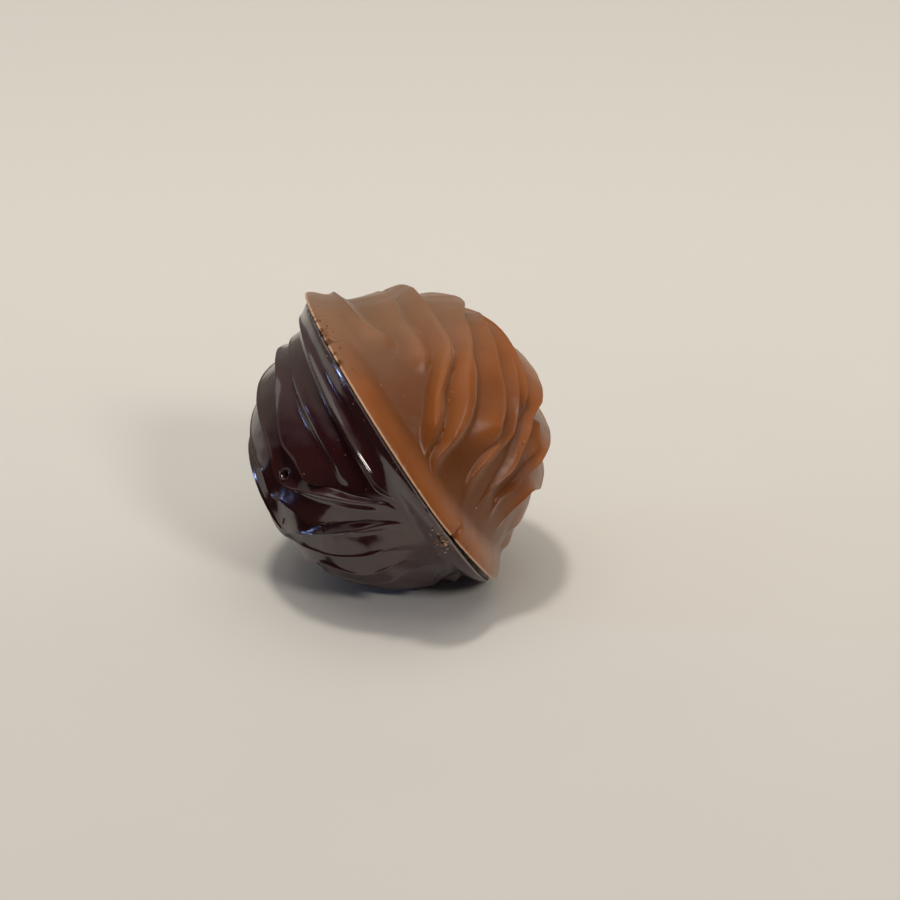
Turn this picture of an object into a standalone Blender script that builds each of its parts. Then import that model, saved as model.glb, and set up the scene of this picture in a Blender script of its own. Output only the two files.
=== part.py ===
"""Moulded chocolate praline: a folded ball of two half domes, one dark and one milk, laid on its side.

Each half is a spherical dome with a straight skirt running out to a sharp flat rim. Wavy folds cross
the dome side by side, from one end of its fold axis to the other. The flat faces of the two halves
meet with a thin open seam between them, and the ball leans on the dark dome and on the milk rim.
"""

import math

import bmesh
import bpy
import numpy as np
from mathutils import Matrix, Vector

# Sizes in metres
BODY_RADIUS = 0.0165
DARK_RIM_RADIUS = 0.0183
MILK_RIM_RADIUS = 0.0189
DARK_FOLD_DEPTH = 0.00120
MILK_FOLD_DEPTH = 0.00100
SEAM_GAP = 0.0003
HALF_SLIP = 0.0003
FLAT_SPOT_DEPTH = 0.0003

# Angles in degrees
AXIS_TURN = 11.3
AXIS_LIFT = 31.0
FOLD_ROLL = 162.0
SEAM_WEDGE = 0.4
FULL_FOLD = 11.0
LEAST_FOLD = 2.5
MOST_CREST = 85.0

# A fold's section, as shares of the way from its crest to the next one
VALLEY = 0.3
FOLD_STEPS = (0.0, 0.13, 0.3, 0.65)
STEEP_SIDE_POWER = 1.5
GENTLE_SIDE_POWER = 1.3

# Where the folds die away above the seam, as shares of the body radius
FOLD_FADE = (0.02, 0.16)
FOLD_END = 0.16
ROW_COUNT = 44

# Each fold is a line of places along the fold axis, with the angle from straight up at which its crest
# stands there, then the place where the fold stops and how strong it is. Places and strengths are in
# hundredths, angles in degrees, and the last place lies at the end that leans down at the seam.
DARK_FOLDS = (
    (((-100, -83), (-18, -83), (23, -81), (53, -78), (75, -74), (87, -70), (98, -74)), 92, 105),
    (((-100, -73), (-17, -72), (16, -70), (45, -67), (59, -64), (74, -58), (88, -67)), 74, 60),
    (((-100, -62), (-3, -61), (11, -56), (24, -52), (37, -51), (54, -47), (66, -51), (78, -55),
      (88, -64)), 64, 100),
    (((-100, -49), (-11, -49), (8, -47), (20, -43), (27, -39), (38, -38), (52, -42), (66, -47),
      (78, -52), (88, -60)), 94, 105),
    (((-100, -34), (1, -33), (12, -32), (22, -27), (35, -28), (48, -28), (57, -26), (66, -28),
      (78, -35), (88, -43), (95, -53)), 72, 90),
    (((-100, -20), (9, -19), (18, -15), (27, -11), (47, -16), (66, -23), (78, -30), (88, -38),
      (95, -47)), 97, 100),
    (((-100, -3), (14, -3), (36, -6), (58, -7), (79, -9), (90, -12), (96, -12)), 99, 95),
    (((-100, 9), (30, 7), (47, 3), (62, 2), (75, 9), (87, 10), (94, 14)), 98, 105),
    (((-100, 20), (42, 16), (60, 17), (70, 24), (80, 27), (89, 31), (95, 45)), 96, 100),
    (((-100, 33), (52, 31), (67, 44), (81, 58)), 90, 90),
    (((-100, 52), (60, 52), (85, 70)), 88, 80),
    (((-100, 70), (60, 70), (85, 80)), 85, 70),
)
MILK_FOLDS = (
    (((-100, -80), (-33, -77), (-15, -76), (-2, -75), (9, -72), (30, -72), (60, -79)), 24, 80),
    (((-100, -58), (-52, -57), (-18, -60), (-5, -61), (19, -59), (30, -59), (57, -66), (83, -80)), 46, 60),
    (((-100, -47), (-51, -47), (-28, -49), (8, -49), (31, -48), (45, -53), (57, -58),
      (70, -62), (79, -68), (83, -74), (95, -80)), 86, 130),
    (((-100, -27), (-33, -27), (-1, -36), (15, -37), (32, -39), (51, -41), (64, -43),
      (75, -49), (82, -58), (86, -69), (95, -76)), 92, 130),
    (((-100, -19), (-32, -19), (-1, -25), (17, -25), (35, -25), (51, -23), (68, -22),
      (80, -25), (88, -34), (95, -45)), 86, 95),
    (((-100, -14), (-25, -14), (10, -15), (28, -15), (49, -14), (66, -11), (72, -11),
      (79, -18), (88, -27), (95, -37)), 99, 105),
    (((-100, -9), (-1, -11), (21, -9), (35, -7), (47, -5), (63, -7), (80, -8)), 56, 80),
    (((-100, 6), (35, 5), (44, 3), (63, -2), (74, -1), (83, 1), (91, -1), (97, -4)), 99, 120),
    (((-100, 15), (35, 13), (47, 9), (54, 10), (61, 14), (69, 14)), 76, 70),
    (((-100, 27), (47, 24), (62, 20), (82, 17), (93, 19), (97, 34)), 98, 120),
    (((-100, 45), (57, 42), (88, 43), (93, 56)), 94, 90),
    (((-100, 60), (60, 59), (85, 66)), 80, 70),
    (((-100, 74), (60, 73), (85, 78)), 80, 60),
)


def smooth_step(low, high, value):
    """0 below low, 1 above high, and an S between them."""
    share = np.clip((value - low) / (high - low), 0.0, 1.0)
    return share * share * (3.0 - 2.0 * share)


def smooth_line(knots, values, place):
    """A smooth curve through the knots, made of cubic pieces."""
    slopes = np.gradient(values, knots)
    at = np.clip(place, knots[0], knots[-1])
    i = np.clip(np.searchsorted(knots, at, side="right") - 1, 0, len(knots) - 2)
    step = knots[i + 1] - knots[i]
    t = (at - knots[i]) / step
    rise = (2 * t**3 - 3 * t**2 + 1) * values[i] + (3 * t**2 - 2 * t**3) * values[i + 1]
    return rise + step * ((t**3 - 2 * t**2 + t) * slopes[i] + (t**3 - t**2) * slopes[i + 1])


def crest_angles(folds, along):
    """Angle of every crest at each place along the fold axis, in order, with the rims at both ends."""
    angles = []
    least = np.full_like(along, -math.radians(MOST_CREST))
    for knots, _, _ in folds:
        places, degrees = np.array(knots, float).T
        angles.append(np.maximum(smooth_line(places / 100.0, np.radians(degrees), along), least))
        least = angles[-1] + math.radians(LEAST_FOLD)
    most = np.full_like(along, math.radians(MOST_CREST))
    for i in reversed(range(len(angles))):
        angles[i] = np.minimum(angles[i], most)
        most = angles[i] - math.radians(LEAST_FOLD)
    rim = np.full_like(along, math.pi / 2)
    return np.array([-rim, *angles, rim])


def crest_strengths(folds, crests, along):
    """Height of every crest, from 0 to 1: a fold dies away before it stops and where it is narrow."""
    strengths = [np.zeros_like(along)]
    widths = (crests[2:] - crests[:-2]) / 2 * np.sqrt(1.0 - along**2)
    for (_, stop, strength), width in zip(folds, widths):
        fading = 1.0 - smooth_step(stop / 100.0 - FOLD_END, stop / 100.0, along)
        narrow = np.clip(width / math.radians(FULL_FOLD), 0.0, 1.0)
        strengths.append(strength / 100.0 * fading * narrow)
    return np.array([*strengths, np.zeros_like(along)])


def fold_height(share, left, right):
    """Height between two crests: a steep side down to a valley, then a long gentle rise."""
    if share < VALLEY:
        return left * (1.0 - share / VALLEY) ** STEEP_SIDE_POWER
    return right * ((share - VALLEY) / (1.0 - VALLEY)) ** GENTLE_SIDE_POWER


def dome_radius(upward, rim_radius):
    """Distance from the ball's centre: a sphere, then the skirt that leaves it along a tangent."""
    skirt_start = math.asin(BODY_RADIUS / rim_radius)
    from_top = np.arccos(np.clip(upward, 0.0, 1.0))
    return BODY_RADIUS / np.cos(np.maximum(from_top - skirt_start, 0.0))


def column_points(angle, latitude, hollow, rim_radius):
    """One line of points along the fold axis, X across the folds and Z up from the seam."""
    direction = np.stack(
        [np.sin(angle) * np.cos(latitude), np.sin(latitude), np.cos(angle) * np.cos(latitude)], axis=1
    )
    upward = direction[:, 2]
    relief = hollow * smooth_step(*FOLD_FADE, upward)
    return direction * (dome_radius(upward, rim_radius) - relief)[:, None]


def dome_columns(folds, fold_depth, rim_radius, seam_end):
    """All the columns of the dome from rim to rim, with several to each fold."""
    latitude = np.radians(np.linspace(-90.0, 90.0, ROW_COUNT + 1)[1:-1])
    along = np.sin(latitude) * seam_end
    crests = crest_angles(folds, along)
    strengths = crest_strengths(folds, crests, along)
    columns = []
    for i in range(len(crests) - 1):
        for share in FOLD_STEPS:
            height = fold_height(share, strengths[i], strengths[i + 1])
            angle = crests[i] + share * (crests[i + 1] - crests[i])
            columns.append(column_points(angle, latitude, fold_depth * (1.0 - height), rim_radius))
    columns.append(column_points(crests[-1], latitude, np.zeros_like(latitude), rim_radius))
    return columns


def dome_mesh(name, folds, fold_depth, rim_radius, seam_end):
    """A closed half: the folded dome, drawn together at both ends of the fold axis, and its flat face."""
    dome_points = dome_columns(folds, fold_depth, rim_radius, seam_end)
    bm = bmesh.new()
    columns = [[bm.verts.new(Vector(p)) for p in column] for column in dome_points]
    near_end = bm.verts.new((0.0, -rim_radius, 0.0))
    far_end = bm.verts.new((0.0, rim_radius, 0.0))
    for left, right in zip(columns[:-1], columns[1:]):
        bm.faces.new((near_end, right[0], left[0]))
        for i in range(len(left) - 1):
            bm.faces.new((left[i], right[i], right[i + 1], left[i + 1]))
        bm.faces.new((far_end, left[-1], right[-1]))
    rim = [near_end, *columns[0], far_end, *reversed(columns[-1])]
    for vert in rim:
        vert.co.z = 0.0
    bm.faces.new(rim)
    mesh = bpy.data.meshes.new(name)
    bm.to_mesh(mesh)
    bm.free()
    return mesh


def cut_below(obj, height):
    """Cuts the object off level at this world height and closes it with a flat face."""
    to_object = obj.matrix_world.inverted()
    plane_point = to_object @ Vector((0.0, 0.0, height))
    plane_normal = to_object.to_3x3() @ Vector((0.0, 0.0, -1.0))
    bm = bmesh.new()
    bm.from_mesh(obj.data)
    everything = [*bm.verts, *bm.edges, *bm.faces]
    cut = bmesh.ops.bisect_plane(
        bm, geom=everything, plane_co=plane_point, plane_no=plane_normal, clear_outer=True
    )
    edges = [item for item in cut["geom_cut"] if isinstance(item, bmesh.types.BMEdge)]
    bmesh.ops.edgeloop_fill(bm, edges=edges)
    bmesh.ops.recalc_face_normals(bm, faces=bm.faces[:])
    bm.to_mesh(obj.data)
    bm.free()


def chocolate(name, colour, roughness):
    material = bpy.data.materials.new(name)
    material.use_nodes = True
    shader = material.node_tree.nodes["Principled BSDF"]
    shader.inputs["Base Color"].default_value = (*colour, 1.0)
    shader.inputs["Roughness"].default_value = roughness
    shader.inputs["Metallic"].default_value = 0.0
    return material


def add_half(name, mesh, material, pose):
    """Puts a half in the scene in its pose, shaded smooth but for its rim and fold crests."""
    mesh.materials.append(material)
    mesh.shade_smooth()
    mesh.set_sharp_from_angle(angle=math.radians(40.0))
    half = bpy.data.objects.new(name, mesh)
    bpy.context.scene.collection.objects.link(half)
    half.matrix_world = pose
    return half


def turned(degrees, axis):
    return Matrix.Rotation(math.radians(degrees), 4, axis)


def ball_pose():
    """From the ball's own axes (X across the folds, Y along them, Z out of the dark dome) to the world."""
    return turned(AXIS_TURN, "Z") @ turned(-90.0 - AXIS_LIFT, "Y") @ turned(FOLD_ROLL, "Z")


def half_poses():
    """The dark half slips along the seam, and the milk half tilts so that the seam opens downwards."""
    lower_end = Vector((1.0, 1.0, 0.0)).normalized()
    hinge = Vector((-1.0, 1.0, 0.0)).normalized()
    dark = Matrix.Translation(lower_end * HALF_SLIP + Vector((0.0, 0.0, SEAM_GAP / 2)))
    upper_end = -lower_end * MILK_RIM_RADIUS - Vector((0.0, 0.0, SEAM_GAP / 2))
    opened = turned(SEAM_WEDGE, hinge)
    milk = Matrix.Translation(upper_end) @ opened @ Matrix.Translation(lower_end * MILK_RIM_RADIUS)
    return ball_pose() @ dark, ball_pose() @ milk @ turned(180.0, "X")


def stand_on_origin(halves):
    """Moves the halves together so that the middle of their box's underside is at the origin."""
    bpy.context.view_layer.update()
    corners = np.array([half.matrix_world @ v.co for half in halves for v in half.data.vertices])
    low, high = corners.min(axis=0), corners.max(axis=0)
    foot = Vector(((low[0] + high[0]) / 2, (low[1] + high[1]) / 2, low[2]))
    for half in halves:
        half.location -= foot


def main():
    for obj in list(bpy.data.objects):
        bpy.data.objects.remove(obj)
    dark_chocolate = chocolate("dark_chocolate", (0.020, 0.006, 0.005), 0.16)
    milk_chocolate = chocolate("milk_chocolate", (0.215, 0.072, 0.026), 0.38)
    dark_mesh = dome_mesh("dark_half", DARK_FOLDS, DARK_FOLD_DEPTH, DARK_RIM_RADIUS, 1)
    milk_mesh = dome_mesh("milk_half", MILK_FOLDS, MILK_FOLD_DEPTH, MILK_RIM_RADIUS, -1)
    dark_pose, milk_pose = half_poses()
    dark_half = add_half("dark_half", dark_mesh, dark_chocolate, dark_pose)
    milk_half = add_half("milk_half", milk_mesh, milk_chocolate, milk_pose)
    bpy.context.view_layer.update()
    for half in (dark_half, milk_half):
        cut_below(half, FLAT_SPOT_DEPTH - BODY_RADIUS)
    stand_on_origin((dark_half, milk_half))


main()
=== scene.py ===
import math

import bpy
import numpy as np
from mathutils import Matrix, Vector


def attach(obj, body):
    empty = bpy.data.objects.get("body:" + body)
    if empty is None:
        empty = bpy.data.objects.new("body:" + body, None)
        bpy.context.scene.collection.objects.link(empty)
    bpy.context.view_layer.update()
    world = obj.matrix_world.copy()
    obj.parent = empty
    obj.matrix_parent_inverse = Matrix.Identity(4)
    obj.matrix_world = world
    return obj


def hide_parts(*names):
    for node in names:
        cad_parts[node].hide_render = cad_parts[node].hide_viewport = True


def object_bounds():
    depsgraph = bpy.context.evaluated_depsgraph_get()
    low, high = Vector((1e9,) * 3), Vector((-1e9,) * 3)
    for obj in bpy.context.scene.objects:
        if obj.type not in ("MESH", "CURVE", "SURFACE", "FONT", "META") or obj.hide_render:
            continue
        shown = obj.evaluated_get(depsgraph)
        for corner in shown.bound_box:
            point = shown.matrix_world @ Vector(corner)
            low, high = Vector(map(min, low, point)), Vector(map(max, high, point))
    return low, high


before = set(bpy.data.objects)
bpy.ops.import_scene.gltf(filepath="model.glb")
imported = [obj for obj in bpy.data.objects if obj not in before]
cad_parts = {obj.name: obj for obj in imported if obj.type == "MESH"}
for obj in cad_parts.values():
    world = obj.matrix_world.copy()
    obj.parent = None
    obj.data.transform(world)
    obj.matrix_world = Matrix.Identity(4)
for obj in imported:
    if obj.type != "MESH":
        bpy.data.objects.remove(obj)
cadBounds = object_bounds()
print("frame loaded")

# the ball as moulded, in metres and degrees
ball = {
    "radius": 0.0165,          # over the fold crests
    "seamGap": 0.00016,
    "slip": 0.0003,            # the dark half sits this much lower along the seam
    "flatSpot": 0.0003,
    "turn": 11.3,
    "lift": 31.0,
    "roll": 162.0,
    "rows": 250,
    "bareBelow": (0.01, 0.08), # unevenness and marks grow in between these heights, in radii
}

# each fold is a line of places from one end of the dome to the other, with the angle its crest
# stands at there; then where the fold starts and stops, where its crest turns soft, and how strong
# it is. Places and strengths are in hundredths, angles in degrees from straight up
darkDome = {
    "rim": 0.0183,
    "front": 1,                # which way along its own axis the near end lies
    "fineFold": 3,             # the strip between folds that the pin hole needs finer
    "fineRows": np.linspace(16.55, 22.8, 24),
    "trim": 0.00006,           # how far the sharp edge is worn back
    "depth": 0.00120,
    "fade": (0.02, 0.15),      # folds die away between these heights above the seam, in radii
    "folds": (
        (((-100, -83), (-18, -83), (23, -81), (53, -78), (75, -74), (87, -70),
          (98, -74)), -100, 92, 95, 105),
        (((-100, -73), (-17, -72), (16, -70), (45, -67), (59, -64), (74, -58),
          (88, -67)), -100, 74, -10, 60),
        (((-100, -62), (-3, -61), (11, -56), (24, -52), (37, -51), (54, -47), (66, -51), (78, -55),
          (88, -64)), -100, 64, 90, 100),
        (((-100, -49), (-11, -49), (8, -47), (20, -43), (27, -39), (38, -38), (52, -42), (66, -47),
          (78, -52), (88, -60)), -100, 94, 50, 105),
        (((-100, -34), (1, -33), (12, -32), (22, -27), (35, -28), (48, -28), (57, -26), (66, -28),
          (78, -35), (88, -43), (95, -53)), -100, 72, 90, 90),
        (((-100, -20), (9, -19), (18, -15), (27, -11), (47, -16), (66, -23), (78, -30), (88, -38),
          (95, -47)), -100, 97, 80, 100),
        (((-100, -3), (14, -3), (36, -6), (58, -7), (79, -9), (90, -12),
          (96, -12)), -100, 99, 95, 95),
        (((-100, 9), (30, 7), (47, 3), (62, 2), (75, 9), (87, 10), (94, 14)), -100, 98, 95, 105),
        (((-100, 20), (42, 16), (60, 17), (70, 24), (80, 27), (89, 31),
          (95, 45)), -100, 96, 95, 100),
        (((-100, 33), (52, 31), (67, 44), (81, 58)), -100, 90, 95, 90),
        (((-100, 52), (60, 52), (85, 70)), -100, 88, 95, 80),
        (((-100, 70), (60, 70), (85, 80)), -100, 85, 95, 70),
    ),
}

milkDome = {
    "rim": 0.0189,
    "front": -1,
    "fineFold": None,
    "fineRows": np.linspace(-12.05, 12.4, 30),
    "trim": 0.00009,
    "depth": 0.00115,
    "fade": (0.02, 0.16),
    "folds": (
        (((-100, -80), (-33, -77), (-15, -76), (-2, -75), (9, -72), (30, -72),
          (60, -79)), -100, 24, -5, 80),
        (((-100, -58), (-52, -57), (-18, -60), (-5, -61), (19, -59), (30, -59), (57, -66),
          (83, -80)), -100, 46, 5, 60),
        (((-100, -47), (-51, -47), (-28, -49), (8, -49), (31, -48), (45, -53), (57, -58), (70, -62),
          (79, -68), (83, -74), (95, -80)), -100, 86, 32, 130),
        (((-100, -27), (-33, -27), (-1, -36), (15, -37), (32, -39), (51, -41), (64, -43), (75, -49),
          (82, -58), (86, -69), (95, -76)), -100, 92, 36, 130),
        (((-100, -19), (-32, -19), (-1, -25), (17, -25), (35, -25), (51, -23), (68, -22), (80, -25),
          (88, -34), (95, -45)), -100, 86, 72, 95),
        (((-100, -14), (-25, -14), (10, -15), (28, -15), (49, -14), (66, -11), (72, -11), (79, -18),
          (88, -27), (95, -37)), -100, 99, 76, 105),
        (((-100, -9), (-1, -11), (21, -9), (35, -7), (47, -5), (63, -7),
          (80, -8)), -100, 56, 90, 80),
        (((-100, 6), (35, 5), (44, 3), (63, -2), (74, -1), (83, 1), (91, -1),
          (97, -4)), -100, 99, 98, 120),
        (((-100, 15), (35, 13), (47, 9), (54, 10), (61, 14), (69, 14)), 40, 76, 95, 70),
        (((-100, 27), (47, 24), (62, 20), (82, 17), (93, 19), (97, 34)), -100, 98, 98, 120),
        (((-100, 45), (57, 42), (88, 43), (93, 56)), -100, 94, 95, 90),
        (((-100, 60), (60, 59), (85, 66)), -100, 80, 40, 70),
        (((-100, 74), (60, 73), (85, 78)), -100, 80, 40, 60),
    ),
}

foldSection = {
    "gentle": 0.84,            # share of the way back to the last crest
    "steep": 0.00100,          # width of the fall after a crisp crest
    "steepSoft": 0.00160,      # and after a soft one
    "gentlePower": 1.30,
    "steepPower": 1.5,
    "bead": 0.00007,           # the narrow raised lip along a crisp crest
    "beadWidth": 0.00017,
    "fullWidth": 0.0026,       # folds closer than this are shallower
    "steepShare": 0.8,         # most of the way to the next crest that a fall takes
    "softHeight": 0.9,         # soft crests stand this much of the full height
    "growth": 0.10,            # a fold grows over this length after its start
    "dying": 0.16,             # and dies over this length before its stop
    "softening": (-0.12, 0.10),
    "mostHeight": 1.1,
    "leastApart": 2.0,         # crests keep this many degrees between them
    "lastCrest": 85.0,         # and stay this far from straight up
}


# where the mesh columns stand: degrees above the seam near each rim, and shares of the way from one
# crest to the next, closest together around the crests
columnPlan = {
    "rimDegrees": (0, 0.15, 0.3, 0.45, 0.65, 0.9, 1.3, 1.9, 2.8, 4.0),
    "afterCrest": (0.0, 0.016, 0.032, 0.05, 0.07, 0.095, 0.125, 0.16, 0.2),
    "between": np.linspace(0.26, 0.88, 9),
    "beforeCrest": (0.93, 0.955, 0.975, 0.988),
    "fine": np.linspace(0.0, 0.98, 44),
}


# an S from 0 at low to 1 at high: 3s^2 - 2s^3
def smoothStep(low, high, value):
    share = np.clip((value - low) / (high - low), 0.0, 1.0)
    return share * share * (3.0 - 2.0 * share)


# sum of sine waves in seeded directions, about -1 to 1, for points in metres
def ripple(points, size, count, seed):
    waves = np.random.default_rng(seed)
    total = np.zeros(points.shape[:-1])
    for _ in range(count):
        direction = waves.normal(size=3)
        direction *= 2 * math.pi / (size * np.linalg.norm(direction)) * waves.uniform(0.7, 1.4)
        total += np.sin(points @ direction + waves.uniform(0, 2 * math.pi))
    return total / math.sqrt(count)


# a curve through knots: on each piece, the sum of both end values and both end slopes, each times
# its cubic weight. The slope at a knot is that from the knot before it to the knot after it
def smoothLine(knots, values, place):
    slopes = np.gradient(values, knots)
    at = np.clip(place, knots[0], knots[-1])
    i = np.clip(np.searchsorted(knots, at, side="right") - 1, 0, len(knots) - 2)
    step = knots[i + 1] - knots[i]
    t = (at - knots[i]) / step
    rise = (2 * t ** 3 - 3 * t ** 2 + 1) * values[i] + (3 * t ** 2 - 2 * t ** 3) * values[i + 1]
    return rise + step * ((t ** 3 - 2 * t ** 2 + t) * slopes[i] + (t ** 3 - t ** 2) * slopes[i + 1])


# crest angles about the fold axis at each row: each line is the greater of its own curve and the
# line before it plus the least gap, then the lesser of that and the line after it minus the gap
def crestLines(folds, along):
    lines = []
    apart = math.radians(foldSection["leastApart"])
    last = math.radians(foldSection["lastCrest"])
    least = np.full_like(along, -last)
    for fold in folds:
        places, angles = np.array(fold[0], float).T
        lines.append(np.maximum(smoothLine(places / 100.0, np.radians(angles), along), least))
        least = lines[-1] + apart
    most = np.full_like(along, last)
    for i in reversed(range(len(lines))):
        lines[i] = np.minimum(lines[i], most)
        most = lines[i] - apart
    return np.array(lines)


# columns from rim to rim, as angles for each row: one crest's angle plus a share of the way to the next
def columnAngles(crests, fineFold):
    aboveRim = np.radians(columnPlan["rimDegrees"])
    between = np.concatenate([columnPlan[part] for part in ("afterCrest", "between", "beforeCrest")])
    oneRow = np.ones(crests.shape[1])
    right = math.pi / 2 - aboveRim[-1]
    edges = [-right * oneRow, *crests, right * oneRow]
    columns = [(angle - math.pi / 2) * oneRow for angle in aboveRim[:-1]]
    for i, (a, b) in enumerate(zip(edges[:-1], edges[1:])):
        shares = columnPlan["fine"] if i == fineFold else between
        columns += [a + share * (b - a) for share in shares]
    columns.append(edges[-1])
    columns += [(math.pi / 2 - angle) * oneRow for angle in aboveRim[-2::-1]]
    return np.array(columns)


# depth below the crests: the full depth times one minus the tallest fold's height there. A fold's
# height is a power of how near its crest is where crisp, and a raised cosine of it where soft: slow
# to rise before the crest and quick to fall after it. A narrow bell curve adds a lip along the crest
def foldHollow(dome, crests, angle, along, across):
    section = foldSection
    height = np.zeros_like(angle)
    lips = np.zeros_like(angle)
    rim = np.full_like(crests[0], math.pi / 2)
    lines = [-rim, *crests, rim]
    for i, (_, start, stop, softFrom, strength) in enumerate(dome["folds"]):
        crest = lines[i + 1]
        start, stop, softFrom = start / 100.0, stop / 100.0, softFrom / 100.0
        starts, ends = softFrom + np.array(section["softening"])
        crisp = 1.0 - smoothStep(starts, ends, along)
        before = (crest - lines[i]) * section["gentle"]
        wide = section["steepSoft"] + (section["steep"] - section["steepSoft"]) * crisp
        after = np.minimum((lines[i + 2] - crest) * section["steepShare"], wide / across)
        away = angle - crest
        share = np.where(away < 0, -away / before, away / after)
        power = np.where(away < 0, section["gentlePower"], section["steepPower"])
        inside = np.clip(1.0 - share, 0.0, 1.0)
        soft = section["softHeight"] * (0.5 - 0.5 * np.cos(math.pi * inside))
        shape = crisp * inside ** power + (1.0 - crisp) * soft
        strength = strength / 100.0 * smoothStep(start, start + section["growth"], along)
        strength = strength * (1.0 - smoothStep(stop - section["dying"], stop, along))
        width = (lines[i + 2] - lines[i]) * 0.5 * across
        strength = strength * np.clip(width / section["fullWidth"], 0.0, 1.0)
        height = np.maximum(height, shape * strength)
        lip = np.exp(-(away * across / section["beadWidth"]) ** 4)
        lips = np.maximum(lips, lip * crisp * strength)
    return dome["depth"] * (1.0 - np.minimum(height, section["mostHeight"])) - section["bead"] * lips


# distance from the ball's centre, the lesser of two: the sphere's radius over the cosine of the
# angle past the skirt's start, which is a straight skirt leaving the sphere along a tangent, and the
# rim less its trim over the outward share, which is the narrow upright land at the worn edge
def domeRadius(upward, outward, rim, trim):
    skirtStart = math.asin(ball["radius"] / rim)
    fromTop = np.arccos(np.clip(upward, 0.0, 1.0))
    skirt = ball["radius"] / np.cos(np.maximum(fromTop - skirtStart, 0.0))
    land = (rim - trim) / np.maximum(outward, 1e-6)
    return np.minimum(skirt, land)


# the folded dome on a grid of columns and rows, X across the folds, Y along them, Z up from the seam:
# direction times the dome's distance, less the hollow between folds, plus the unevenness and marks
def domeGrid(dome, trimAt, extra):
    latitude = np.radians(np.linspace(-90.0, 90.0, ball["rows"] + 1)[1:-1])
    latitude = np.sort(np.concatenate([latitude, np.radians(dome["fineRows"])]))
    along = np.sin(latitude)
    place = along * dome["front"]
    crests = crestLines(dome["folds"], place)
    angle = columnAngles(crests, dome["fineFold"])
    shape = (angle.shape[0], len(latitude))
    along, place = np.broadcast_to(along, shape), np.broadcast_to(place, shape)
    flat = np.broadcast_to(np.cos(latitude), shape)
    direction = np.stack([np.sin(angle) * flat, along, np.cos(angle) * flat], axis=-1)
    upward = np.maximum(direction[..., 2], 0.0)
    outward = np.hypot(direction[..., 0], direction[..., 1])
    around = np.arctan2(direction[..., 1], direction[..., 0])
    fade = smoothStep(*dome["fade"], upward)
    hollow = foldHollow(dome, crests, angle, place, flat * ball["radius"])
    radius = domeRadius(upward, outward, dome["rim"], dome["trim"] + trimAt(around))
    radius = radius - fade * hollow
    points = direction * radius[..., None]
    # how deep each point lies in its fold's hollow, as a share of the full depth; on the milk half it
    # masks the painted valley shade
    valley = np.clip(fade * hollow / dome["depth"], 0.0, 1.0)
    raised = smoothStep(*ball["bareBelow"], upward) * extra(points)
    return valley, points + direction * raised[..., None]


# joins the columns into one closed skin: both ends drawn to a point, and a flat face over the rim in
# rings that are shares of the rim's own outline
def domeMesh(points, rim, trim):
    columns, rows = points.shape[:2]
    body = points.reshape(-1, 3)
    near, far = len(body), len(body) + 1
    ends = np.array([[0, -(rim - trim), 0], [0, rim - trim, 0]])
    index = np.arange(columns * rows).reshape(columns, rows)
    a, b, c, d = index[:-1, :-1], index[1:, :-1], index[1:, 1:], index[:-1, 1:]
    quads = np.stack([a, b, c, d], axis=-1).reshape(-1, 4)
    nearTips = np.stack([np.full(columns - 1, near), index[1:, 0], index[:-1, 0]], axis=1)
    farTips = np.stack([np.full(columns - 1, far), index[:-1, -1], index[1:, -1]], axis=1)
    loop = np.concatenate([[near], index[0], [far], index[-1, ::-1]])
    outer = np.concatenate([body, ends])[loop]
    firstRing = far + 1
    rings = [outer * [share, share, 1.0] for share in (0.985, 0.9)]
    centre = firstRing + 2 * len(loop)
    vertices = np.concatenate([body, ends, *rings, [[0.0, 0.0, 0.0]]])
    ringIndex = [loop, firstRing + np.arange(len(loop)), firstRing + len(loop) + np.arange(len(loop))]
    flatQuads = [
        np.stack([o, np.roll(o, -1), np.roll(i, -1), i], axis=1)
        for o, i in zip(ringIndex[:-1], ringIndex[1:])
    ]
    last = ringIndex[-1]
    fan = np.stack([last, np.roll(last, -1), np.full(len(last), centre)], axis=1)
    faces = [quads, *flatQuads, nearTips, farTips, fan]
    return vertices, faces


# puts arrays into a mesh: quads and triangles by their corner counts, shaded smooth
def makePiece(name, vertices, faces, material, sharpAngle=50.0, attributes=None):
    mesh = bpy.data.meshes.new(name)
    corners = np.concatenate([f.reshape(-1) for f in faces]).astype(np.int32)
    counts = np.concatenate([np.full(len(f), f.shape[1]) for f in faces]).astype(np.int32)
    mesh.vertices.add(len(vertices))
    mesh.vertices.foreach_set("co", np.ascontiguousarray(vertices, np.float32).reshape(-1))
    mesh.loops.add(len(corners))
    mesh.loops.foreach_set("vertex_index", corners)
    mesh.polygons.add(len(counts))
    mesh.polygons.foreach_set("loop_start", (np.cumsum(counts) - counts).astype(np.int32))
    mesh.update(calc_edges=True)
    mesh.validate()
    for label, values in (attributes or {}).items():
        layer = mesh.attributes.new(label, "FLOAT", "POINT")
        layer.data.foreach_set("value", np.ascontiguousarray(values, np.float32))
    mesh.shade_smooth()
    mesh.set_sharp_from_angle(angle=math.radians(sharpAngle))
    mesh.materials.append(material)
    piece = bpy.data.objects.new(name, mesh)
    bpy.context.scene.collection.objects.link(piece)
    return piece


# turning matrices about one axis
def turned(degrees, axis):
    c, s = math.cos(math.radians(degrees)), math.sin(math.radians(degrees))
    if axis == "X":
        return np.array([[1, 0, 0], [0, c, -s], [0, s, c]])
    if axis == "Y":
        return np.array([[c, 0, s], [0, 1, 0], [-s, 0, c]])
    return np.array([[c, -s, 0], [s, c, 0], [0, 0, 1]])


ballTurn = turned(ball["turn"], "Z") @ turned(-90.0 - ball["lift"], "Y") @ turned(ball["roll"], "Z")
lowerEnd = np.array([1.0, 1.0, 0.0]) / math.sqrt(2)
seam = {
    "closed": 0.00002,         # extra gap at the upper end
    "open": 0.00050,           # and at the lower end
    "opensFrom": 0.0085,       # distances from the centre, towards the lower end
    "opensTo": 0.0190,
}


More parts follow.
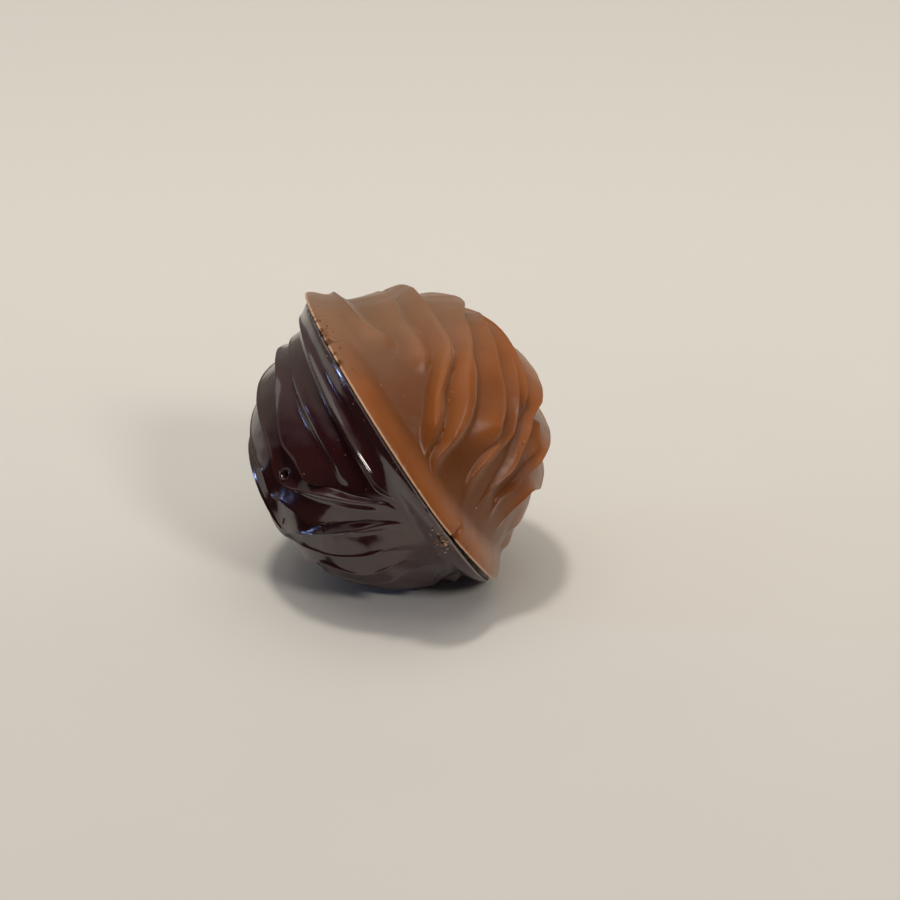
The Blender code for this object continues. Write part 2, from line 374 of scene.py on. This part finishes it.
# dark dome from its own axes into the ball's: slipped along the seam, and up by half the gap
def placeDark(points):
    return points + lowerEnd * ball["slip"] + [0, 0, ball["seamGap"] / 2]


# milk dome from its own axes into the ball's: turned over, then down by half the gap and by an S
# that opens the seam towards its lower end
def placeMilk(points):
    over = points @ turned(180.0, "X").T
    opening = seam["open"] * smoothStep(seam["opensFrom"], seam["opensTo"], over @ lowerEnd)
    return over - (opening + seam["closed"] + ball["seamGap"] / 2)[:, None] * [0, 0, 1]


# ball axes into the frame: leaned over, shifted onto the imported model's box, and no lower than the floor
def settle(points, shift):
    return np.maximum(points @ ballTurn.T + shift, [-1.0, -1.0, 0.0])


# wraps a socket, so that arithmetic written on it adds Math nodes
class Wire:
    def __init__(self, maker, socket):
        self.maker = maker
        self.socket = socket

    def math(self, operation, a, b):
        return self.maker.node("ShaderNodeMath", {"operation": operation}, {0: a, 1: b})

    def __add__(self, other):
        return self.math("ADD", self, other)

    def __radd__(self, other):
        return self.math("ADD", other, self)

    def __sub__(self, other):
        return self.math("SUBTRACT", self, other)

    def __rsub__(self, other):
        return self.math("SUBTRACT", other, self)

    def __mul__(self, other):
        return self.math("MULTIPLY", self, other)

    def __rmul__(self, other):
        return self.math("MULTIPLY", other, self)

    def __pow__(self, other):
        return self.math("POWER", self, other)


# builds one node tree, that of a material or of the surroundings
class Finish:
    def __init__(self, owner):
        self.owner = owner
        owner.use_nodes = True
        self.tree = owner.node_tree
        self.tree.nodes.clear()

    def node(self, kind, settings=None, values=None, out=0):
        made = self.tree.nodes.new(kind)
        for key, value in (settings or {}).items():
            setattr(made, key, value)
        for key, value in (values or {}).items():
            self.put(made.inputs[key], value)
        return Wire(self, made.outputs[out]) if made.outputs else None

    def put(self, socket, value):
        if isinstance(value, Wire):
            self.tree.links.new(value.socket, socket)
        else:
            socket.default_value = value

    def mix(self, share, a, b):
        return self.node("ShaderNodeMix", {"data_type": "RGBA"}, {0: share, 6: a, 7: b}, out=2)

    def noise(self, where, scale, detail=3.0, rough=0.5, distortion=0.0):
        values = {"Vector": where, "Scale": scale, "Detail": detail, "Roughness": rough}
        return self.node("ShaderNodeTexNoise", None, {**values, "Distortion": distortion})

    def ease(self, value, low, high):
        values = {"Value": value, "From Min": low, "From Max": high}
        return self.node("ShaderNodeMapRange", {"interpolation_type": "SMOOTHSTEP"}, values)

    def surface(self, values):
        shader = self.node("ShaderNodeBsdfPrincipled", None, values)
        self.node("ShaderNodeOutputMaterial", None, {"Surface": shader})
        return self.owner


def newFinish(name):
    return Finish(bpy.data.materials.new(name))


# satin milk chocolate: slow drifts of tone, cloudy shine, fine grain, pale scraped edges, painted shade in
# the fold valleys and a painted grey sheen at the top and the foot. Colours are linear, noise scales per
# metre, and heights in metres above the floor
milkLook = {
    "warm": (0.300, 0.086, 0.013, 1),
    "deep": (0.230, 0.062, 0.008, 1),
    "scraped": (0.56, 0.33, 0.20, 1),
    # painted sheen: a paler grey-brown laid on the top and the foot, in place of the pale surroundings
    # mirrored at grazing angles
    "paintedSheen": (0.240, 0.150, 0.090, 1),
    # painted shade: a darker brown laid into the fold valleys, and how much of it the deepest valley gets,
    # in place of the shade that falls in them
    "valley": (0.120, 0.034, 0.005, 1),
    "valleyShare": 0.8,
    "sheen": (0.85, 0.90, 0.82, 1),
    "sheenWeight": 0.30,
    "ior": 1.42,
    "drift": 110.0,
    "smear": 330.0,
    "grain": 5200.0,
    "chipped": 2600.0,         # how finely the scraped edge is broken up
    "crumble": 4200.0,
    # heights over which the painted sheen comes in at the top, and at the foot going down
    "paintedSheenTop": (0.0270, 0.0330),
    "paintedSheenFoot": (0.010, 0.004),
    "paintedSheenShare": (0.35, 0.5), # everywhere, and more in the smears
    "rough": (0.34, 0.16, 0.3),  # everywhere, more in the smears, more where scraped
    "relief": (0.5, 1.2, 2.0), # of grain, smears and scraped edges
    "bump": {"Strength": 0.35, "Distance": 0.00003},
}


def milkFinish():
    made = newFinish("milkChocolate")
    look = milkLook
    where = made.node("ShaderNodeTexCoord", out="Object")
    high = made.node("ShaderNodeSeparateXYZ", None, {0: where}, out="Z")
    drift = made.noise(where, look["drift"], 3.0, 0.55)
    grain = made.noise(where, look["grain"], 2.0, 0.6)
    smear = made.noise(where, look["smear"], 4.0, 0.65, 1.2)
    worn = made.node("ShaderNodeAttribute", {"attribute_name": "worn"}, out="Fac")
    flake = made.ease(worn + 0.55 * made.noise(where, look["chipped"], 3.0, 0.7) - 0.3, 0.25, 0.6)
    tone = made.mix(made.ease(drift, 0.35, 0.65), look["deep"], look["warm"])
    # painted sheen: paler and greyer by height near the top and the foot, stronger where the smears are
    ends = made.ease(high, *look["paintedSheenTop"]) + made.ease(high, *look["paintedSheenFoot"])
    paintedSheen = ends * (look["paintedSheenShare"][0] + look["paintedSheenShare"][1] * smear)
    # painted shade: the fold valleys darkened by the square of their depth
    valley = made.node("ShaderNodeAttribute", {"attribute_name": "valley"}, out="Fac")
    tone = made.mix(look["valleyShare"] * valley * valley, tone, look["valley"])
    colour = made.mix(flake, made.mix(paintedSheen, tone, look["paintedSheen"]), look["scraped"])
    even, smeared, scraped = look["rough"]
    shine = even + smeared * made.ease(smear, 0.35, 0.75) + scraped * flake
    grainy, smeary, crumbled = look["relief"]
    crumble = made.noise(where, look["crumble"], 2.0, 0.7)
    height = grainy * grain + smeary * smear + crumbled * flake * crumble
    bump = made.node("ShaderNodeBump", None, {"Height": height, **look["bump"]})
    return made.surface({
        "Base Color": colour, "Roughness": shine, "Normal": bump, "IOR": look["ior"],
        "Sheen Weight": look["sheenWeight"], "Sheen Roughness": 0.4, "Sheen Tint": look["sheen"],
    })


# glossy dark chocolate: near black with a red cast, faint smears in the shine and a slight waviness
darkLook = {
    "body": (0.0290, 0.0055, 0.0060, 1),
    "lean": (0.0360, 0.0100, 0.0090, 1),
    "scraped": (0.20, 0.15, 0.14, 1),
    "sheen": (0.85, 0.90, 0.82, 1),
    "sheenWeight": 0.05,
    "ior": 1.75,
    "drift": 140.0,
    "smear": 420.0,
    "grain": 6000.0,
    "chipped": 2900.0,
    "rough": (0.13, 0.13, 0.3),
    "relief": (0.25, 1.0),     # of grain and smears
    "bump": {"Strength": 0.2, "Distance": 0.00002},
}


def darkFinish():
    made = newFinish("darkChocolate")
    look = darkLook
    where = made.node("ShaderNodeTexCoord", out="Object")
    drift = made.noise(where, look["drift"], 3.0, 0.5)
    smear = made.noise(where, look["smear"], 4.0, 0.6, 1.5)
    grain = made.noise(where, look["grain"], 2.0, 0.5)
    worn = made.node("ShaderNodeAttribute", {"attribute_name": "worn"}, out="Fac")
    flake = made.ease(worn + 0.5 * made.noise(where, look["chipped"], 3.0, 0.7) - 0.3, 0.3, 0.65)
    tone = made.mix(made.ease(drift, 0.35, 0.65), look["body"], look["lean"])
    colour = made.mix(flake, tone, look["scraped"])
    even, smeared, scraped = look["rough"]
    shine = even + smeared * made.ease(smear, 0.45, 0.8) + scraped * flake
    height = look["relief"][0] * grain + look["relief"][1] * smear
    bump = made.node("ShaderNodeBump", None, {"Height": height, **look["bump"]})
    return made.surface({
        "Base Color": colour, "Roughness": shine, "Normal": bump, "IOR": look["ior"],
        "Sheen Weight": look["sheenWeight"], "Sheen Roughness": 0.4, "Sheen Tint": look["sheen"],
    })


milkChocolate = milkFinish()
darkChocolate = darkFinish()
print("finishes made")


# marks on the halves. Places and angles are those of the folds, sizes in metres
pinHole = {"place": 0.335, "angle": -41.5, "radius": 0.00048, "depth": 0.0012, "lip": 0.00012}
bubble = {"place": 0.31, "angle": -15.0, "radius": 0.00030, "depth": 0.00022, "lip": 0.00004}
milkEdge = {
    "chips": 0.00080,          # deepest bite out of the crumbly stretch
    "nibbles": 0.00016,        # and out of the rest of the edge
    "crumblyAt": -176.0,       # middle of the crumbly stretch, degrees around the rim
    "crumblyHalf": 17.0,
    "chipAt": -94.0,           # one more chip near the lower end
    "chipSpan": (0.8, 2.2),    # full inside the first, gone past the second
    "broad": (0.0019, 9, 5, 0.0),  # ripple size, waves, seed and threshold
    "middling": (0.0007, 9, 6, 0.0),
    "fine": (0.0007, 9, 7, 0.3),
}
darkEdge = {"nibbles": 0.00009, "fine": (0.0009, 9, 8, 0.3)}
wornBand = {"height": 0.00035, "full": 0.00005, "reach": 0.0005, "fullReach": 0.0002}
uneven = {                     # height, size, waves and seed of each ripple
    "dark": ((0.000018, 0.0045, 12, 21), (0.000008, 0.0016, 12, 22)),
    "milk": ((0.000030, 0.0040, 12, 31), (0.000007, 0.0013, 12, 32)),
}


# sideways distance in degrees from a place around the rim
def degreesFrom(around, place):
    return np.abs((np.degrees(around) - place + 180.0) % 360.0 - 180.0)


# bites: where a ripple rises over its threshold, the edge is cut back in proportion
def bites(around, size, count, seed, over):
    ring = np.stack([np.cos(around), np.sin(around), 0 * around], axis=-1) * milkDome["rim"]
    return np.clip(ripple(ring, size, count, seed) - over, 0.0, 1.2)


# how far the milk edge is cut back: the greater of the crumbly stretch's bites and the one chip, at
# full depth, plus the small nibbles all round
def milkTrim(around):
    edge = milkEdge
    fromCrumbly = degreesFrom(around, edge["crumblyAt"])
    crumbly = 1.0 - smoothStep(edge["crumblyHalf"] * 0.7, edge["crumblyHalf"], fromCrumbly)
    chip = 1.0 - smoothStep(*edge["chipSpan"], degreesFrom(around, edge["chipAt"]))
    broad = bites(around, *edge["broad"]) + 0.5 * bites(around, *edge["middling"])
    fine = bites(around, *edge["fine"])
    return np.maximum(crumbly * broad, chip) * edge["chips"] + fine * edge["nibbles"]


# the dark edge has nibbles alone
def darkTrim(around):
    return bites(around, *darkEdge["fine"]) * darkEdge["nibbles"]


# where a place and an angle lie on the sphere: radius times the sine of the angle, the place, and the
# cosine of the angle, the first and last times what the place leaves of the unit circle
def onSphere(place, angle):
    across = math.cos(math.asin(place))
    angle = math.radians(angle)
    return ball["radius"] * np.array([math.sin(angle) * across, place, math.cos(angle) * across])


# a round dimple with a raised lip: an S down to its full depth over the outer half of its radius,
# and a bell curve centred just outside for the lip
def dimple(points, mark):
    middle = onSphere(mark["place"], mark["angle"])
    spread = points / np.linalg.norm(points, axis=-1, keepdims=True) * ball["radius"]
    away = np.linalg.norm(spread - middle, axis=-1)
    inside = 1.0 - smoothStep(0.55 * mark["radius"], mark["radius"], away)
    lip = np.exp(-((away - 1.15 * mark["radius"]) / (0.28 * mark["radius"])) ** 2)
    return mark["lip"] * lip - mark["depth"] * inside


# slow unevenness of poured chocolate: a sum of ripples, each at its own height
def unevenness(points, kind):
    return sum(height * ripple(points, *rest) for height, *rest in uneven[kind])


# the dark half's unevenness plus its two marks
def darkExtra(points):
    return unevenness(points, "dark") + dimple(points, pinHole) + dimple(points, bubble)


def milkExtra(points):
    return unevenness(points, "milk")


# one finished half in ball axes. The edge counts as worn where it is both low and far out, an S in
# each, multiplied
def buildHalf(dome, place, trimAt, extra, material):
    valley, points = domeGrid(dome, trimAt, extra)
    vertices, faces = domeMesh(points, dome["rim"], dome["trim"])
    # the hollow's depth share rides along as an attribute, the mask of the painted valley shade
    low = np.zeros(len(vertices))
    low[:valley.size] = valley.reshape(-1)
    high = vertices[:, 2]
    reach = np.hypot(vertices[:, 0], vertices[:, 1])
    worn = smoothStep(wornBand["height"], wornBand["full"], high)
    worn *= smoothStep(dome["rim"] - wornBand["reach"], dome["rim"] - wornBand["fullReach"], reach)
    return place(vertices), faces, {"worn": worn, "valley": low}, material


halves = {
    "darkDome": buildHalf(darkDome, placeDark, darkTrim, darkExtra, darkChocolate),
    "milkDome": buildHalf(milkDome, placeMilk, milkTrim, milkExtra, milkChocolate),
}
leaned = np.concatenate([half[0] for half in halves.values()]) @ ballTurn.T
centre = (leaned.min(axis=0) + leaned.max(axis=0)) / 2
cadLow, cadHigh = np.array(cadBounds[0]), np.array(cadBounds[1])
shift = (cadLow + cadHigh) / 2 - centre
shift[2] = ball["radius"] - ball["flatSpot"]
print("ball centre at", shift.round(6))

nodeOf = {"darkDome": "dark_half", "milkDome": "milk_half"}
for name, (vertices, faces, attributes, material) in halves.items():
    piece = makePiece(name, settle(vertices, shift), faces, material, 50.0, attributes)
    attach(piece, "root")
    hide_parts(nodeOf[name])
    print(name, "built with", len(piece.data.polygons), "faces")

# crumbs and flakes: small rough solids scattered by seed in patches. Each patch is how many, degrees
# around the seam from and to, height off the seam from and to, and sizes from and to
crumbLook = {
    "seed": 17,
    "darkPatches": (
        (34, 88.0, 101.0, 0.0001, 0.0021, 0.00006, 0.00016),
        (7, 91.0, 97.0, 0.0002, 0.0012, 0.00016, 0.00026),
        (30, 158.0, 190.0, 0.0001, 0.0006, 0.00005, 0.00013),
        (26, 100.0, 158.0, 0.0001, 0.0007, 0.00004, 0.00008),
        (14, 100.0, 178.0, 0.0020, 0.0110, 0.00003, 0.00007),
    ),
    "milkPatches": (
        (22, -190.0, -160.0, 0.0002, 0.0012, 0.00005, 0.00012),
        (34, -175.0, -80.0, 0.0010, 0.0120, 0.00003, 0.00008),
    ),
    "sunk": 0.00004,           # how far a crumb's middle lies under the surface
    "stretch": (0.45, 1.3),
    "rough": (0.75, 1.25),
    "light": (0.42, 0.27, 0.18, 1),
    "brown": (0.16, 0.065, 0.030, 1),
}


# centres on a dome for one patch, each the dome's distance less the sunk depth, and a size for each
def scatter(draw, dome, patch):
    count, start, end, low, high, least, most = patch
    around = np.radians(draw.uniform(start, end, count))
    up = draw.uniform(low, high, count)
    tilt = np.arcsin(up / ball["radius"])
    out = domeRadius(np.sin(tilt), np.cos(tilt), dome["rim"], dome["trim"]) - crumbLook["sunk"]
    flat = np.cos(tilt)
    centres = np.stack([np.cos(around) * flat, np.sin(around) * flat, np.sin(tilt)], axis=1)
    return centres * out[:, None], draw.uniform(least, most, count)


# the twenty-sided solid: corners in three crossed golden rectangles, and every three of them that
# all stand one edge apart make a face
def roundSolid():
    golden = (1 + math.sqrt(5)) / 2
    turns = np.array([[0, 1, golden], [0, -1, golden], [0, 1, -golden], [0, -1, -golden]]) / golden
    shell = np.concatenate([turns, np.roll(turns, 1, axis=1), np.roll(turns, 2, axis=1)])
    apart = np.linalg.norm(shell[:, None] - shell[None], axis=-1)
    near = (apart > 0) & (apart < 1.01 * apart[apart > 0].min())
    i, j, k = np.indices((len(shell),) * 3)
    corners = np.argwhere((i < j) & (j < k) & near[i, j] & near[j, k] & near[i, k])
    a, b, c = (shell[corners[:, side]] for side in range(3))
    inward = np.einsum("ij,ij->i", np.cross(a, b), c) < 0
    corners[inward] = corners[inward][:, ::-1]
    return shell, corners


# every crumb is that solid, each corner at its own seeded distance, stretched along each axis
def buildCrumbs():
    draw = np.random.default_rng(crumbLook["seed"])
    shell, corners = roundSolid()
    placed = []
    for dome, place, patches in (
        (darkDome, placeDark, crumbLook["darkPatches"]),
        (milkDome, placeMilk, crumbLook["milkPatches"]),
    ):
        for patch in patches:
            centres, sizes = scatter(draw, dome, patch)
            stretch = draw.uniform(*crumbLook["stretch"], (len(sizes), 1, 3))
            rough = draw.uniform(*crumbLook["rough"], (len(sizes), len(shell), 1))
            placed.append(place(centres)[:, None] + shell * rough * stretch * sizes[:, None, None])
    points = np.concatenate(placed)
    starts = len(shell) * np.arange(len(points))
    faces = (corners + starts[:, None, None]).reshape(-1, 3)
    points = settle(points.reshape(-1, 3), shift)
    crumbs = makePiece("crumbs", points, [faces], crumbFinish(), 20.0)
    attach(crumbs, "root")
    print("crumbs built with", len(faces), "faces")


# crumbs are duller and paler than the shell they broke from
def crumbFinish():
    made = newFinish("crumbChocolate")
    where = made.node("ShaderNodeTexCoord", out="Object")
    share = made.ease(made.noise(where, 1400.0, 2.0, 0.5), 0.35, 0.65)
    colour = made.mix(share, crumbLook["brown"], crumbLook["light"])
    return made.surface({"Base Color": colour, "Roughness": 0.7})


buildCrumbs()

# floor, pale, with painted shade: darker on the near side and paler beyond the ball
floorLook = {
    "size": 3.0,
    # painted shade: the near colour is darker, in place of the light falling off towards the front
    "near": (0.62, 0.595, 0.56, 1),
    "far": (0.80, 0.77, 0.71, 1),
    "paintedShadeFade": (-0.10, 0.14),  # from the near colour to the far one between these places on Y
}


def floorFinish():
    made = newFinish("paleFloor")
    where = made.node("ShaderNodeTexCoord", out="Object")
    back = made.node("ShaderNodeSeparateXYZ", None, {0: where}, out="Y")
    mottle = made.noise(where, 30.0, 3.0, 0.5)
    # painted shade: from the darker near colour to the paler far one along Y
    share = made.ease(back + 0.03 * mottle, *floorLook["paintedShadeFade"])
    colour = made.mix(share, floorLook["near"], floorLook["far"])
    return made.surface({"Base Color": colour, "Roughness": 0.8})


half = floorLook["size"]
floorCorners = half * np.array([[-1, -1, 0], [1, -1, 0], [1, 1, 0], [-1, 1, 0]], float)
floor = makePiece("floor", floorCorners, [np.array([[0, 1, 2, 3]])], floorFinish())
print("floor laid")

# camera, looking along +Y and down onto the ball
cameraLook = {
    "distance": 0.30,
    "elevation": 25.0,
    "span": 0.099,             # width of what it sees, at the ball
    "aside": 0.0057,           # the ball stands left of the middle, and a little above it
    "below": 0.0014,
}
cameraData = bpy.data.cameras.new("camera")
camera = bpy.data.objects.new("camera", cameraData)
bpy.context.scene.collection.objects.link(camera)
lean = math.radians(cameraLook["elevation"])
away = Vector((0, math.cos(lean), -math.sin(lean)))
upward = Vector((0, math.sin(lean), math.cos(lean)))
ballCentre = Vector(shift)
aim = ballCentre + Vector((cameraLook["aside"], 0, 0)) - upward * cameraLook["below"]
camera.location = aim - away * cameraLook["distance"]
camera.rotation_euler = (math.pi / 2 - lean, 0, 0)
cameraData.sensor_width = 36.0
cameraData.lens = cameraData.sensor_width * cameraLook["distance"] / cameraLook["span"]
cameraData.clip_start = 0.01
bpy.context.scene.camera = camera
print("camera set")


# soft boxes, each turned to face the ball: place, width, watts and colour
lamps = {
    "overheadLamp": ((-0.12, -0.03, 1.00), 0.12, 3.2, (1.0, 0.95, 0.87)),
    "overheadSoft": ((0.05, 0.02, 1.00), 1.10, 2.6, (1.0, 0.96, 0.89)),
    "frontRight": ((0.40, -0.60, 0.54), 0.18, 2.2, (1.0, 0.95, 0.88)),
    "blueWindow": ((-0.75, 0.00, 0.16), 0.06, 0.60, (0.35, 0.5, 1.0)),
}


def softBox(name, place, size, watts, colour):
    data = bpy.data.lights.new(name, "AREA")
    data.shape = "DISK"
    data.size = size
    data.energy = watts
    data.color = colour
    light = bpy.data.objects.new(name, data)
    light.location = place
    toBall = ballCentre - Vector(place)
    light.rotation_euler = toBall.to_track_quat("-Z", "Y").to_euler()
    bpy.context.scene.collection.objects.link(light)
    return light


lights = {name: softBox(name, *lamp) for name, lamp in lamps.items()}
lights["overheadLamp"].visible_glossy = False  # it casts the shadow without a hot spot in the shine
print("lights placed")

# black card: a curved upright panel that only dims what the glossy half mirrors from the near side
cardLook = {
    "radius": 0.038,
    "from": 190.0,             # degrees around the ball
    "to": 325.0,
    "height": 0.034,
    "colour": (0.012, 0.010, 0.014, 1),
}


# an upright strip: radius times the cosine and sine of the turn, at the floor and at its height
def buildCard():
    around = np.radians(np.linspace(cardLook["from"], cardLook["to"], 25))
    high = np.array([0.0, cardLook["height"]])
    x = cardLook["radius"] * np.cos(around)[:, None] + 0 * high
    y = cardLook["radius"] * np.sin(around)[:, None] + 0 * high
    points = np.stack([x, y, 0 * x + high], axis=-1).reshape(-1, 3)
    index = np.arange(len(points)).reshape(len(around), 2)
    quads = np.stack([index[:-1, 0], index[:-1, 1], index[1:, 1], index[1:, 0]], axis=1)
    plain = {"Base Color": cardLook["colour"], "Roughness": 1.0, "Specular IOR Level": 0.0}
    matte = newFinish("blackCard").surface(plain)
    card = makePiece("card", points, [quads], matte)
    card.visible_camera = card.visible_diffuse = card.visible_shadow = card.visible_transmission = False


buildCard()
print("card placed")

# surroundings: a pale wall beyond the ball, a dim room on the near side and a soft ceiling
roomLook = {
    "dim": (0.030, 0.028, 0.055, 1),
    "wall": (0.30, 0.285, 0.25, 1),
    "wallFrom": (-0.35, 0.35),  # how far along Y the dim side turns into the wall
    "ceiling": (0.36, 0.345, 0.32, 1),
    "ceilingFrom": (0.45, 0.85),
}


def buildRoom():
    room = bpy.data.worlds.new("surroundings")
    bpy.context.scene.world = room
    made = Finish(room)
    facing = made.node("ShaderNodeTexCoord", out="Generated")
    back = made.node("ShaderNodeSeparateXYZ", None, {0: facing}, out="Y")
    high = made.node("ShaderNodeSeparateXYZ", None, {0: facing}, out="Z")
    sides = made.mix(made.ease(back, *roomLook["wallFrom"]), roomLook["dim"], roomLook["wall"])
    colour = made.mix(made.ease(high, *roomLook["ceilingFrom"]), sides, roomLook["ceiling"])
    background = made.node("ShaderNodeBackground", None, {"Color": colour})
    made.node("ShaderNodeOutputWorld", None, {"Surface": background})


buildRoom()
bpy.context.scene.view_settings.view_transform = "Standard"
print("surroundings made")
